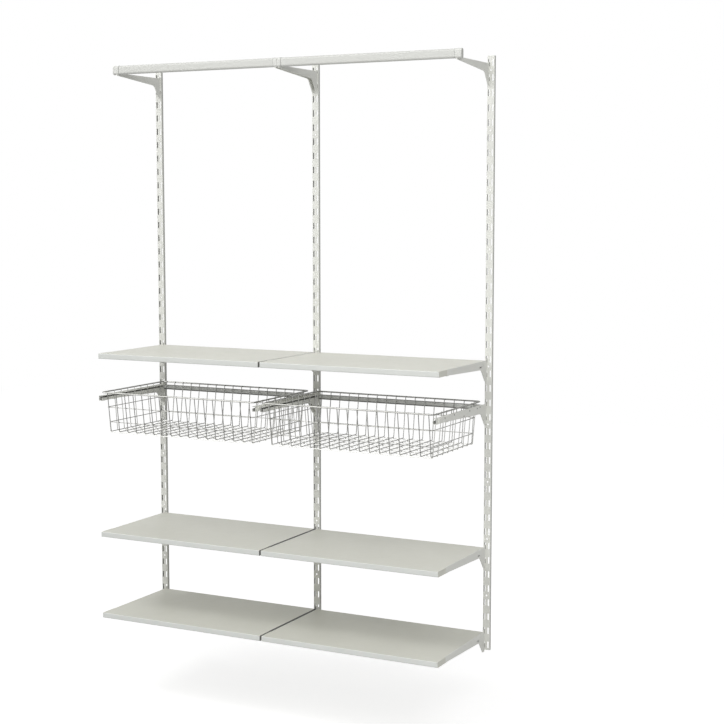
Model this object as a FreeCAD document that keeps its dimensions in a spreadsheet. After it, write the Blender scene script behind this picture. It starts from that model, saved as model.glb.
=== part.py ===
# Open wardrobe for a wall: slotted uprights, shelves, hanging rails and sliding wire baskets.
# Frame: X to the right, front towards -Y, Z up. The origin is the middle of the wall screws:
# on the front of the middle upright, half-way between the lowest and highest screw. Places are
# worked out from the wall and the lower end of the uprights, then moved there. Sizes are in
# millimetres.
import FreeCAD
import Part
import Sketcher
import os

Vector = FreeCAD.Vector

# Driving sizes, one named cell each.
SIZES = {
    # uprights
    "upright_height": 1960, "upright_width": 25, "upright_depth": 11, "upright_wall": 1.5,
    "bay_pitch": 646,
    "slot_pitch": 48, "slot_length": 22, "slot_width": 3.6, "slot_first": 18, "slot_column": 7,
    "screw_hole": 6, "screw_first": 186, "screw_step": 4,
    # levels, counted in slots
    "low_slot": 1, "middle_step": 6, "basket_step": 10, "top_step": 3,
    # bracket plates
    "plate_thick": 3, "tip_back": 7, "tip_height": 17, "tip_drop": 2, "tip_insert": 53,
    "root_height": 28, "root_reach": 46, "gusset_height": 68, "foot_width": 13, "knee_radius": 16,
    "hook_rise": 7, "hook_height": 13, "hook_lip": 4, "hook_drop": 6, "hook_play": 0.3,
    "ear_width": 6, "tab_reach": 10, "tab_thick": 2, "tab_width": 14, "tab_back": 64,
    "tab_rear": 55,
    # shelves
    "shelf_depth": 380, "shelf_thick": 18.5, "shelf_setback": 7, "nose_depth": 61,
    "nose_cover": 2, "shelf_round": 5, "shelf_play": 0.3,
    # hanging rails
    "rail_height": 30, "rail_width": 15, "rail_wall": 1.2, "rail_round": 7, "rail_reach": 252,
    "rail_rise": 9, "rail_hook_rise": 9, "rail_tip_height": 9, "rail_gusset": 71,
    "rail_root": 37, "rail_foot": 8,
    "cap_wall": 0.8, "cap_play": 0.2, "cap_over": 9, "cap_in": 14, "cap_gap": 0.3,
    "spigot_length": 10,
    # pull-out runners
    "runner_width": 12.5, "runner_height": 16.5, "runner_wall": 1.2, "runner_lip": 9.8,
    "runner_over": 14, "runner_rear": 9, "crossbar_depth": 13,
    "stop_width": 3.5, "stop_length": 10, "stop_setback": 3, "stop_play": 0.3,
    # wire baskets
    "rim_wire": 5, "wall_wire": 3, "rim_level": 10, "rim_overlap": 5.5, "rim_over": 12.5,
    "rim_rear": 19.5, "rim_round": 8, "basket_height": 138.5, "front_taper": 19,
    "side_taper": 12, "wire_bend": 2.5, "weld_gap": 0.05, "depth_pitch": 35.6, "cross_pitch": 39.4,
    "hoop_step": 52, "slide_wire": 5, "slide_inset": 6.8, "slide_play": 0.3, "leg_wire": 4,
    "travel": 270,
}

doc = FreeCAD.newDocument("wardrobe")
sheet = doc.addObject("Spreadsheet::Sheet", "Sizes")
for row, (name, value) in enumerate(SIZES.items(), start=1):
    sheet.set("A%d" % row, name)
    sheet.set("B%d" % row, str(value))
    sheet.setAlias("B%d" % row, name)
doc.recompute()

nodes = []


# Formulas that several pieces share. Each is text that the document works out itself.
def size(name):
    return "<<Sizes>>." + name


def number(formula):
    """Present value of a formula."""
    return float(sheet.evalExpression(formula))


def join(*terms):
    """Sum of formulas."""
    return " + ".join("(%s)" % term for term in terms)


def less(first, *terms):
    """First formula less the others."""
    return "(%s) - " % first + " - ".join("(%s)" % term for term in terms)


def neg(formula):
    return "-(%s)" % formula


def half(formula):
    return "(%s) / 2" % formula


def twice(formula):
    return "(%s) * 2" % formula


PITCH = size("bay_pitch")
WEB = size("upright_depth")
PLATE_OUT = less(size("slot_column"), half(size("plate_thick")))
PLATE_IN = join(size("slot_column"), half(size("plate_thick")))
REACH = less(join(size("shelf_depth"), size("shelf_setback")), size("tip_back"))
RUNNER_FRONT = join(REACH, size("runner_over"))
RIM_FRONT = join(REACH, size("rim_over"))
SLOT_COUNT = "floor((%s) / %s) + 1" % (
    less(size("upright_height"), size("slot_first"), half(size("slot_length")), "5"),
    size("slot_pitch"))
SCREW_COUNT = "floor((%s) / (%s * %s)) + 1" % (
    less(size("upright_height"), size("screw_first"), size("screw_hole")),
    size("screw_step"), size("slot_pitch"))


SCREW_MIDDLE = join(size("screw_first"), half("(%s - 1) * %s * %s" % (
    SCREW_COUNT, size("screw_step"), size("slot_pitch"))))


def slot_bottom(index):
    """Lower edge of the slot with this number, counted from the upright's lower end."""
    return join(size("slot_first"), "(%s) * %s" % (index, size("slot_pitch")),
                neg(half(size("slot_length"))))


SLOT = {"low": "round(%s)" % size("low_slot")}
SLOT["middle"] = join(SLOT["low"], "round(%s)" % size("middle_step"))
SLOT["basket"] = join(SLOT["middle"], "round(%s)" % size("basket_step"))
SLOT["top"] = join(SLOT["basket"], "round(%s)" % size("top_step"))
SLOT["rail"] = less(SLOT_COUNT, "1")
LEVEL = {name: join(slot_bottom(SLOT[name]), size("hook_rise"))
         for name in ("low", "middle", "basket", "top")}
LEVEL["rail"] = join(slot_bottom(SLOT["rail"]), size("rail_hook_rise"))

# Left and right upright of each bay.
BAYS = {"left": (neg(PITCH), "0"), "right": ("0", PITCH)}
MIDDLE = {"left": neg(half(PITCH)), "right": half(PITCH)}
SIDES = {"left": "-1", "right": "1"}


# Small helpers for bodies and sketches.
def place(piece, x, y, z):
    """Put a piece where the formulas say, counted from the wall and the uprights' lower end."""
    for axis, formula in zip("xyz", (x, join(y, WEB), less(z, SCREW_MIDDLE))):
        piece.setExpression("Placement.Base." + axis, formula)
    nodes.append(piece)


def new_body(label, x="0", y="0", z="0"):
    """Body of one piece, placed by formulas."""
    body = doc.addObject("PartDesign::Body", label)
    body.Label = label
    place(body, x, y, z)
    return body


def origin(body, role):
    return [item for item in body.Origin.OriginFeatures if item.Role == role][0]


def new_sketch(body, plane, offset=None):
    """Sketch on one of the body's own planes, moved along the plane's normal by a formula."""
    sketch = body.newObject("Sketcher::SketchObject", body.Name + "_sketch")
    sketch.AttachmentSupport = [(origin(body, plane), "")]
    sketch.MapMode = "FlatFace"
    if offset:
        sketch.setExpression("AttachmentOffset.Base.z", offset)
    return sketch


def add_outline(sketch, points):
    """Closed outline through points whose two coordinates are formulas."""
    first = sketch.GeometryCount
    count = len(points)
    spots = [Vector(number(x), number(y), 0) for x, y in points]
    lines = [Part.LineSegment(spots[i], spots[(i + 1) % count]) for i in range(count)]
    sketch.addGeometry(lines, False)
    rules = [Sketcher.Constraint("Coincident", first + i, 2, first + (i + 1) % count, 1)
             for i in range(count)]
    formulas = []
    for i, (x, y) in enumerate(points):
        rules.append(Sketcher.Constraint("DistanceX", -1, 1, first + i, 1, spots[i].x))
        rules.append(Sketcher.Constraint("DistanceY", -1, 1, first + i, 1, spots[i].y))
        formulas += [x, y]
    start = sketch.ConstraintCount + count
    sketch.addConstraint(rules)
    for i, formula in enumerate(formulas):
        sketch.setExpression("Constraints[%d]" % (start + i), formula)


def box_points(x0, y0, x1, y1):
    return [(x0, y0), (x1, y0), (x1, y1), (x0, y1)]


def add_circle(sketch, y, diameter):
    """Circle on the sketch's vertical axis."""
    index = sketch.addGeometry(
        Part.Circle(Vector(0, number(y), 0), Vector(0, 0, 1), number(diameter) / 2), False)
    start = sketch.ConstraintCount
    sketch.addConstraint([
        Sketcher.Constraint("PointOnObject", index, 3, -2),
        Sketcher.Constraint("DistanceY", -1, 1, index, 3, number(y)),
        Sketcher.Constraint("Diameter", index, number(diameter))])
    sketch.setExpression("Constraints[%d]" % (start + 1), y)
    sketch.setExpression("Constraints[%d]" % (start + 2), diameter)


def hole_points(y, diameter, sides=8):
    """Small round hole as a regular outline just outside its circle, on the vertical axis."""
    corner = "%s / 2 / cos(%s)" % (diameter, 180 / sides)
    turns = [360 * (i + 0.5) / sides for i in range(sides)]
    return [("%s * cos(%s)" % (corner, turn), join(y, "%s * sin(%s)" % (corner, turn)))
            for turn in turns]


def add_feature(body, kind, sketch, length, both_ways=False, back=False):
    """Pad or pocket of a sketch."""
    feature = body.newObject("PartDesign::" + kind, body.Name + "_" + kind.lower())
    feature.Profile = sketch
    feature.setExpression("Length", length)
    feature.SideType = "Symmetric" if both_ways else "One side"
    feature.Reversed = back
    body.Tip = feature
    doc.recompute()
    return feature


def repeat(body, features, axis, step, count):
    """Row of copies of some features along one axis of the body."""
    row = body.newObject("PartDesign::LinearPattern", body.Name + "_row")
    row.Originals = features
    row.Direction = (origin(body, axis), [""])
    row.Mode = "Spacing"
    row.setExpression("Offset", step)
    row.setExpression("Occurrences", count)
    body.Tip = row
    doc.recompute()
    return row


def edges_near(shape, spots, reach=0.2):
    """Names of the edges whose middle lies at one of the spots, a None coordinate being free."""
    names = []
    for i, edge in enumerate(shape.Edges, start=1):
        middle = edge.BoundBox.Center
        for spot in spots:
            pairs = [(a, b) for a, b in zip(spot, middle) if a is not None]
            if all(abs(a - b) < reach for a, b in pairs):
                names.append("Edge%d" % i)
                break
    return names


def round_edges(body, spots, radius, kind="Fillet"):
    """Round or bevel the edges at the spots given."""
    before = body.Tip
    dress = body.newObject("PartDesign::" + kind, body.Name + "_" + kind.lower())
    dress.Base = (before, edges_near(before.Shape, spots))
    dress.setExpression("Radius" if kind == "Fillet" else "Size", radius)
    body.Tip = dress
    doc.recompute()
    return dress


# Uprights: a U channel with its open side to the wall, two slot columns and a row of screw holes.
def make_upright(label, x):
    body = new_body(label, x)
    side = half(size("upright_width"))
    inside = less(side, size("upright_wall"))
    front = neg(WEB)
    behind_web = less(size("upright_wall"), WEB)
    profile = new_sketch(body, "XY_Plane")
    add_outline(profile, [
        (neg(side), "0"), (neg(side), front), (side, front), (side, "0"),
        (inside, "0"), (inside, behind_web), (neg(inside), behind_web), (neg(inside), "0")])
    add_feature(body, "Pad", profile, size("upright_height"))
    top = join(size("slot_first"), half(size("slot_length")))
    bottom = less(size("slot_first"), half(size("slot_length")))
    slots = new_sketch(body, "XZ_Plane", less(WEB, half(size("upright_wall"))))
    for sign in ("-1", "1"):
        middle = "%s * %s" % (sign, size("slot_column"))
        add_outline(slots, box_points(
            less(middle, half(size("slot_width"))), bottom,
            join(middle, half(size("slot_width"))), top))
    pocket = add_feature(body, "Pocket", slots, size("upright_wall") + " * 3", both_ways=True)
    repeat(body, [pocket], "Z_Axis", size("slot_pitch"), SLOT_COUNT)
    step = "%s * %s" % (size("screw_step"), size("slot_pitch"))
    ends = new_sketch(body, "XZ_Plane", less(WEB, half(size("upright_wall"))))
    add_circle(ends, size("screw_first"), size("screw_hole"))
    add_circle(ends, join(size("screw_first"), "(%s - 1) * %s" % (SCREW_COUNT, step)),
               size("screw_hole"))
    add_feature(body, "Pocket", ends, size("upright_wall") + " * 3", both_ways=True)
    holes = new_sketch(body, "XZ_Plane", less(WEB, half(size("upright_wall"))))
    add_outline(holes, hole_points(join(size("screw_first"), step), size("screw_hole")))
    pocket = add_feature(body, "Pocket", holes, size("upright_wall") + " * 3", both_ways=True)
    repeat(body, [pocket], "Z_Axis", step, "%s - 2" % SCREW_COUNT)


# Bracket plates: drawn from the side, with the web's front face at 0 and the plate's top at 0.
def hook_points(bottom, top):
    """Tongue through a slot with a lip behind the web, from the slot's lower edge."""
    lip_in = join(size("upright_wall"), size("hook_play"))
    lip_out = join(lip_in, size("hook_lip"))
    low = less(bottom, size("hook_drop"))
    return [(lip_out, top), (lip_out, low), (lip_in, low), (lip_in, bottom), ("0", bottom)]


def plate_points(rise, gusset, foot, root, front):
    """Side outline of a plate; front lists its points from the knee to the top edge."""
    upper = neg(rise)
    lower = less(upper, size("slot_pitch"))
    ear = join(upper, size("hook_height"))
    return ([(neg(size("ear_width")), "0"), (neg(size("ear_width")), ear)]
            + hook_points(upper, ear)
            + [("0", join(lower, size("hook_height")))]
            + hook_points(lower, join(lower, size("hook_height")))
            + [("0", neg(gusset)), (neg(foot), neg(gusset)), (neg(root), neg(size("root_height")))]
            + front)


def place_plate(label, bay, side, level):
    """Body whose origin is the plate's outer face, at the upright's web."""
    upright = BAYS[bay][0 if side == "left" else 1]
    x = join(upright, PLATE_OUT) if side == "left" else less(upright, PLATE_OUT)
    return new_body(label, x, neg(WEB), LEVEL[level])


def round_knee(body, root):
    """Round the edge between arm and gusset."""
    round_edges(body, [(None, -number(root), -number(size("root_height")))], size("knee_radius"))


def make_shelf_bracket(label, bay, side, level):
    body = place_plate(label, bay, side, level)
    step = less(REACH, size("tip_insert"))
    profile = new_sketch(body, "YZ_Plane")
    root = size("root_reach")
    add_outline(profile, plate_points(
        size("hook_rise"), size("gusset_height"), size("foot_width"), root, [
            (neg(REACH), neg(size("tip_height"))), (neg(REACH), neg(size("tip_drop"))),
            (neg(step), neg(size("tip_drop"))), (neg(step), "0")]))
    back = side == "right"
    add_feature(body, "Pad", profile, size("plate_thick"), back=back)
    round_knee(body, root)
    tabs = new_sketch(body, "YZ_Plane")
    lugs = new_sketch(body, "YZ_Plane")
    under = neg(size("shelf_thick"))
    for spot in (less(REACH, size("tab_back")), size("tab_rear")):
        front = less(neg(spot), half(size("tab_width")))
        rear = join(neg(spot), half(size("tab_width")))
        low = less(under, size("tab_thick"))
        add_outline(lugs, box_points(front, low, rear, neg(size("tip_height"))))
        add_outline(tabs, box_points(front, low, rear, under))
    add_feature(body, "Pad", lugs, size("plate_thick"), back=back)
    add_feature(body, "Pad", tabs, join(size("plate_thick"), size("tab_reach")), back=back)


def make_rail_bracket(label, bay, side):
    body = place_plate(label, bay, side, "rail")
    tip = join(size("rail_reach"), half(size("rail_width")), neg(size("rail_wall")))
    profile = new_sketch(body, "YZ_Plane")
    root = size("rail_root")
    add_outline(profile, plate_points(
        size("rail_hook_rise"), size("rail_gusset"), size("rail_foot"), root, [
            (neg(tip), neg(size("rail_tip_height"))), (neg(tip), "0")]))
    add_feature(body, "Pad", profile, size("plate_thick"), back=side == "right")
    round_knee(body, root)


# Shelves: the main board ends at the plates, the nose in front covers the plate tips.
def make_shelf(label, bay, level):
    body = new_body(label, MIDDLE[bay], neg(join(WEB, size("shelf_setback"))), LEVEL[level])
    depth = size("shelf_depth")
    thick = size("shelf_thick")
    nose_back = less(depth, size("nose_depth"))
    board = new_sketch(body, "YZ_Plane")
    add_outline(board, box_points("0", "0", neg(depth), neg(thick)))
    board_half = less(half(PITCH), PLATE_IN, size("shelf_play"))
    add_feature(body, "Pad", board, twice(board_half), both_ways=True)
    nose = new_sketch(body, "YZ_Plane")
    add_outline(nose, box_points(neg(nose_back), "0", neg(depth), neg(thick)))
    nose_half = less(half(PITCH), less(PLATE_OUT, size("nose_cover")))
    add_feature(body, "Pad", nose, twice(nose_half), both_ways=True)
    edge_y = -number(depth)
    round_edges(body, [(None, edge_y, 0), (None, edge_y, -number(thick))], size("shelf_round"))
    mouths = new_sketch(body, "XZ_Plane", nose_back)
    outer = less(half(PITCH), less(PLATE_OUT, size("shelf_play")))
    lower = neg(join(thick, "1"))
    upper = less(size("shelf_play"), size("tip_drop"))
    add_outline(mouths, box_points(board_half, lower, outer, upper))
    add_outline(mouths, box_points(neg(board_half), lower, neg(outer), upper))
    tip = less(REACH, size("shelf_setback"), nose_back)
    add_feature(body, "Pocket", mouths, join(tip, "1"), back=True)


# Hanging rails and their end caps, drawn about the rail's own axis.
def oval_edges(length_middle, width, height):
    """Middles of the four long edges of a bar."""
    return [(length_middle, y, z) for y in (-width / 2, width / 2) for z in (-height / 2, height / 2)]


def oval_points(width, height):
    return box_points(neg(half(width)), neg(half(height)), half(width), half(height))


RAIL_Y = neg(join(WEB, size("rail_reach")))
RAIL_Z = join(LEVEL["rail"], size("rail_rise"))


def make_rail(label, bay):
    body = new_body(label, MIDDLE[bay], RAIL_Y, RAIL_Z)
    length = twice(less(half(PITCH), size("cap_in")))
    outline = new_sketch(body, "YZ_Plane")
    add_outline(outline, oval_points(size("rail_width"), size("rail_height")))
    add_feature(body, "Pad", outline, length, both_ways=True)
    round_edges(body, oval_edges(0, number(size("rail_width")), number(size("rail_height"))),
                size("rail_round"))
    bore = new_sketch(body, "YZ_Plane")
    inner_width = less(size("rail_width"), twice(size("rail_wall")))
    inner_height = less(size("rail_height"), twice(size("rail_wall")))
    corner = less(size("rail_round"), size("rail_wall"))
    add_outline(bore, chamfered_points(half(inner_width), half(inner_height), corner + " * 0.6"))
    add_feature(body, "Pocket", bore, join(length, "2"), both_ways=True)


def chamfered_points(x, y, cut):
    """Rectangle about the origin with its corners cut off."""
    return [(less(x, cut), y), (x, less(y, cut)), (x, neg(less(y, cut))), (less(x, cut), neg(y)),
            (neg(less(x, cut)), neg(y)), (neg(x), neg(less(y, cut))), (neg(x), less(y, cut)),
            (neg(less(x, cut)), y)]


def make_caps(label, bay):
    """The two end caps of a rail: each has a spigot in the tube and a mouth below for the
    bracket's tip."""
    body = new_body(label, MIDDLE[bay], RAIL_Y, RAIL_Z)
    width = join(size("rail_width"), twice(size("cap_wall")))
    height = join(size("rail_height"), twice(size("cap_wall")))
    for side, sign in SIDES.items():
        over = size("cap_over") if bay == side else neg(half(size("cap_gap")))
        outline = new_sketch(body, "YZ_Plane", "%s * (%s)" % (sign, join(half(PITCH), over)))
        add_outline(outline, oval_points(width, height))
        add_feature(body, "Pad", outline, join(size("cap_in"), over), back=side == "right")
    round_edges(body, oval_edges(None, number(width), number(height)),
                join(size("rail_round"), size("cap_wall")))
    tip_front = join(half(size("rail_width")), neg(size("rail_wall")), size("cap_play"))
    for side, sign in SIDES.items():
        face = less(half(PITCH), size("cap_in"))
        spigot = new_sketch(body, "YZ_Plane", "%s * (%s)" % (sign, face))
        add_outline(spigot, oval_points(size("rail_width") + " * 0.66", size("rail_height") + " * 0.6"))
        add_feature(body, "Pad", spigot, size("spigot_length"), back=side == "right")
        mouth_start = less(half(PITCH), PLATE_OUT, neg(size("cap_play")))
        mouth = new_sketch(body, "YZ_Plane", "%s * (%s)" % (sign, mouth_start))
        add_outline(mouth, box_points(neg(tip_front), neg(height), width, neg(size("rail_rise"))))
        mouth_width = join(size("plate_thick"), twice(size("cap_play")))
        add_feature(body, "Pocket", mouth, mouth_width, back=side == "left")


# Pull-out runners: C channels on the plates' tabs, with a gap on the inner side for the legs.
RUNNER_Z = less(LEVEL["basket"], size("shelf_thick"))
RUNNER_IN = join(PLATE_IN, size("runner_width"))
RUNNER_LENGTH = less(RUNNER_FRONT, size("runner_rear"))


def make_runner(label, bay, side):
    upright = BAYS[bay][0 if side == "left" else 1]
    x = join(upright, PLATE_IN) if side == "left" else less(upright, PLATE_IN)
    body = new_body(label, x, neg(join(WEB, size("runner_rear"))), RUNNER_Z)
    sign = "1" if side == "left" else "-1"
    wall = size("runner_wall")
    wide = size("runner_width")
    high = size("runner_height")
    points = [("0", "0"), (wide, "0"), (wide, size("runner_lip")),
              (less(wide, wall), size("runner_lip")), (less(wide, wall), wall), (wall, wall),
              (wall, less(high, wall)), (wide, less(high, wall)), (wide, high), ("0", high)]
    profile = new_sketch(body, "XZ_Plane")
    add_outline(profile, [("%s * (%s)" % (sign, x_at), z_at) for x_at, z_at in points])
    add_feature(body, "Pad", profile, RUNNER_LENGTH)


def make_crossbar(label, bay):
    """Hollow bar between the two runners, at their rear ends."""
    body = new_body(label, MIDDLE[bay], neg(join(WEB, size("runner_rear"))), RUNNER_Z)
    wall = size("runner_wall")
    deep = size("crossbar_depth")
    high = size("runner_height")
    profile = new_sketch(body, "YZ_Plane")
    add_outline(profile, box_points("0", "0", neg(deep), high))
    add_outline(profile, box_points(neg(wall), wall, less(wall, deep), less(high, wall)))
    length = twice(less(half(PITCH), RUNNER_IN))
    add_feature(body, "Pad", profile, length, both_ways=True)


def make_stop(label, bay, side):
    """Block on the runner's web that the slide wire's stub meets."""
    upright = BAYS[bay][0 if side == "left" else 1]
    inner = join(PLATE_IN, size("runner_wall"))
    block = doc.addObject("Part::Box", label)
    block.Label = label
    x = join(upright, inner) if side == "left" else less(upright, inner, size("stop_width"))
    y = neg(join(WEB, less(RUNNER_FRONT, size("stop_setback"))))
    z = join(RUNNER_Z, size("runner_wall"))
    place(block, x, y, z)
    block.setExpression("Length", size("stop_width"))
    block.setExpression("Width", size("stop_length"))
    block.setExpression("Height", less(size("runner_height"), twice(size("runner_wall"))))


# Wire baskets, drawn about the middle of the basket's rim. Walls lean in towards the floor.
RIM_HALF = less(half(PITCH), less(RUNNER_IN, size("rim_overlap")))
RIM_DEEP = half(less(RIM_FRONT, size("rim_rear")))
BASKET_Y = neg(join(WEB, half(join(RIM_FRONT, size("rim_rear")))))
BASKET_Z = join(LEVEL["basket"], size("rim_level"))
WALL_TOP = half(size("rim_wire"))
FLOOR = neg(size("basket_height"))


def wall_outside(way, z):
    """Outer face of the wall wires at a height below the rim's middle, across or in depth."""
    rim_half, taper = (RIM_HALF, "side_taper") if way == "across" else (RIM_DEEP, "front_taper")
    top = less(rim_half, size("rim_wire"), size("weld_gap"))
    return less(top, "(%s) * %s / %s" % (less(WALL_TOP, z), size(taper), size("basket_height")))


DEPTH_ROOM = less(wall_outside("across", FLOOR), size("wall_wire") + " * 1.5", size("weld_gap"))
DEPTH_HALF_COUNT = "floor((%s) / %s)" % (DEPTH_ROOM, size("depth_pitch"))
CROSS_ROOM = less(wall_outside("deep", FLOOR), size("wire_bend"), half(size("wall_wire")))
CROSS_COUNT = "floor(2 * (%s) / %s) + 1" % (CROSS_ROOM, size("cross_pitch"))
CROSS_HALF = half("(%s - 1) * %s" % (CROSS_COUNT, size("cross_pitch")))


def wire_points(way, floor):
    """Side view of one bent wire: down a wall, across the floor and up the other wall."""
    wire = size("wall_wire")
    bend = size("wire_bend")
    top = wall_outside(way, WALL_TOP)
    inner_floor = join(floor, wire)
    right = [(less(top, wire), WALL_TOP), (top, WALL_TOP),
             (wall_outside(way, join(floor, bend)), join(floor, bend)),
             (less(wall_outside(way, floor), bend), floor)]
    inside = less(wall_outside(way, inner_floor), wire)
    left = [(neg(x), z) for x, z in reversed(right)]
    return right + left + [(neg(inside), inner_floor), (inside, inner_floor)]


def basket_body(label, bay):
    return new_body(label, MIDDLE[bay], BASKET_Y, BASKET_Z)


def make_depth_wires(label, bay):
    """Wires from the front wall over the floor to the rear wall."""
    body = basket_body(label, bay)
    first = neg("%s * %s" % (DEPTH_HALF_COUNT, size("depth_pitch")))
    side = new_sketch(body, "YZ_Plane", first)
    add_outline(side, wire_points("deep", FLOOR))
    wire = add_feature(body, "Pad", side, size("wall_wire"), both_ways=True)
    repeat(body, [wire], "X_Axis", size("depth_pitch"), "2 * %s + 1" % DEPTH_HALF_COUNT)


def make_cross_wires(label, bay):
    """Wires from side wall to side wall, under the others."""
    body = basket_body(label, bay)
    floor = less(FLOOR, size("wall_wire"), size("weld_gap"))
    side = new_sketch(body, "XZ_Plane", CROSS_HALF)
    add_outline(side, wire_points("across", floor))
    wire = add_feature(body, "Pad", side, size("wall_wire"), both_ways=True)
    repeat(body, [wire], "Y_Axis", size("cross_pitch"), CROSS_COUNT)


def make_rim(label, bay):
    """Thick wire frame with bevelled corners."""
    body = basket_body(label, bay)
    wire = size("rim_wire")
    cut = size("rim_round")
    frame = new_sketch(body, "XY_Plane")
    add_outline(frame, chamfered_points(RIM_HALF, RIM_DEEP, cut))
    add_outline(frame, chamfered_points(less(RIM_HALF, wire), less(RIM_DEEP, wire),
                                        less(cut, wire + " * 0.586")))
    add_feature(body, "Pad", frame, wire, both_ways=True)


def make_hoops(label, bay):
    """Wire frames inside the wall wires, at two heights."""
    body = basket_body(label, bay)
    wire = size("wall_wire")
    for index in ("1", "2"):
        z = neg("%s * %s" % (index, size("hoop_step")))
        lower = less(z, half(wire))
        x, y = [less(wall_outside(way, lower), wire, twice(size("weld_gap")))
                for way in ("across", "deep")]
        hoop = new_sketch(body, "XY_Plane", z)
        add_outline(hoop, oval_points(twice(x), twice(y)))
        add_outline(hoop, oval_points(twice(less(x, wire)), twice(less(y, wire))))
        add_feature(body, "Pad", hoop, wire, both_ways=True)


def make_slide(label, bay, side):
    """Staple wire in a runner: a bar on the lower flange, two legs to the basket and a stop stub."""
    sign = "-1" if side == "left" else "1"
    body = basket_body(label, bay)
    channel_floor = less(join(size("runner_wall"), size("slide_play")),
                         join(size("shelf_thick"), size("rim_level")))
    bar = size("slide_wire")
    leg = size("leg_wire")
    web_x = less(half(PITCH), PLATE_IN)
    middle = less(web_x, size("runner_wall"), size("slide_inset"))
    bar_top = join(channel_floor, bar)
    gap_low = less(size("runner_lip"), join(size("shelf_thick"), size("rim_level")))
    gap_high = less(size("runner_height"), size("runner_wall"),
                    join(size("shelf_thick"), size("rim_level")))
    leg_low = less(half(join(gap_low, gap_high)), half(leg))
    leg_high = join(leg_low, leg)
    reach = join(wall_outside("across", leg_high), size("weld_gap"))
    bar_ends = join(CROSS_HALF, half(leg))

    def across(x):
        return "%s * (%s)" % (sign, x)

    lying = new_sketch(body, "XZ_Plane")
    add_outline(lying, box_points(across(less(middle, half(bar))), channel_floor,
                                  across(join(middle, half(bar))), bar_top))
    add_feature(body, "Pad", lying, twice(bar_ends), both_ways=True)
    for y in (CROSS_HALF, neg(CROSS_HALF)):
        rising = new_sketch(body, "XZ_Plane", y)
        add_outline(rising, [
            (across(join(middle, half(leg))), less(bar_top, "1")),
            (across(join(middle, half(leg))), leg_high),
            (across(reach), leg_high), (across(reach), leg_low),
            (across(less(middle, half(leg))), leg_low),
            (across(less(middle, half(leg))), less(bar_top, "1"))])
        add_feature(body, "Pad", rising, leg, both_ways=True)
    stop_face = less(RUNNER_FRONT, size("stop_setback"), size("stop_length"))
    stub_front = less(stop_face, size("travel"), size("stop_play"))
    stub_middle = less(stub_front, half(leg), half(join(RIM_FRONT, size("rim_rear"))))
    stub = new_sketch(body, "XZ_Plane", stub_middle)
    stub_tip = less(web_x, size("runner_wall"), size("slide_play"))
    add_outline(stub, box_points(across(middle), join(channel_floor, "0.5"),
                                 across(stub_tip), join(channel_floor, "0.5", leg)))
    add_feature(body, "Pad", stub, leg, both_ways=True)


# The set.
make_upright("upright_left", neg(PITCH))
make_upright("upright_middle", "0")
make_upright("upright_right", PITCH)
for bay in BAYS:
    for level in ("top", "middle", "low"):
        make_shelf("shelf_%s_%s" % (level, bay), bay, level)
        for side in ("left", "right"):
            make_shelf_bracket("bracket_%s_%s_%s" % (level, bay, side), bay, side, level)
    for side in ("left", "right"):
        make_shelf_bracket("bracket_basket_%s_%s" % (bay, side), bay, side, "basket")
        make_rail_bracket("bracket_rail_%s_%s" % (bay, side), bay, side)
        make_runner("runner_%s_%s" % (bay, side), bay, side)
        make_stop("runner_stop_%s_%s" % (bay, side), bay, side)
        make_slide("slide_%s_%s" % (bay, side), bay, side)
    make_rail("rail_%s" % bay, bay)
    make_caps("rail_caps_%s" % bay, bay)
    make_crossbar("crossbar_%s" % bay, bay)
    make_rim("rim_%s" % bay, bay)
    make_depth_wires("depth_wires_%s" % bay, bay)
    make_cross_wires("cross_wires_%s" % bay, bay)
    make_hoops("hoops_%s" % bay, bay)
doc.recompute()

# Every piece is checked before any file is written.
for item in doc.Objects:
    if "Invalid" in item.State or "Error" in item.State:
        raise RuntimeError("%s is not sound: %s" % (item.Label, item.State))
os.makedirs("parts", exist_ok=True)
for node in nodes:
    if node.Shape.isNull() or not node.Shape.isValid() or node.Shape.Volume <= 0:
        raise RuntimeError("%s has no sound shape" % node.Label)
for node in nodes:
    node.Shape.exportStep("parts/%s.step" % node.Label)
print("pieces", len(nodes))
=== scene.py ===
# %% [markdown]
# # An open wardrobe for a wall
# Three slotted uprights are screwed to a wall and carry shelves, hanging rails and two wire
# baskets that slide. The imported CAD model is loaded first and stays fixed: it says where every
# piece is. This lesson dresses it, piece by piece, with softer edges, round wires and finishes.
# The box of the CAD model is kept.

# %% Load the imported model
import bmesh
import bpy
from math import radians
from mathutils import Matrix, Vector


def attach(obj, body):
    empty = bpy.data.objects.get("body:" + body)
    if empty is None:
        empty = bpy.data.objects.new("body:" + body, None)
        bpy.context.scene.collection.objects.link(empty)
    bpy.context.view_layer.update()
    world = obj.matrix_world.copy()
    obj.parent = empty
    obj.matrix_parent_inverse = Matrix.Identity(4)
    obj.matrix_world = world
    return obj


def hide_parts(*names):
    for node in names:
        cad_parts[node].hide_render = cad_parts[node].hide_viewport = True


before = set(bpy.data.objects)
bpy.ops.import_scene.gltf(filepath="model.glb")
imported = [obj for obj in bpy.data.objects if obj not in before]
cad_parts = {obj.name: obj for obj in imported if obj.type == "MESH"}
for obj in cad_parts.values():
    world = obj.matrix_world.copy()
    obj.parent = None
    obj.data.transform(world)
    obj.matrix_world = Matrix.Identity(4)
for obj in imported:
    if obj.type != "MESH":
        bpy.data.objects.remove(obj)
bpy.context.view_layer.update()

# %% [markdown]
# ## The camera
# The picture was taken from the right, a little above the middle of the wardrobe, with a long
# lens. The place and angle were worked out from corners of the shelves and ends of the uprights.
# A square picture uses the full width of the sensor, so the lens length alone sets the zoom.

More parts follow.
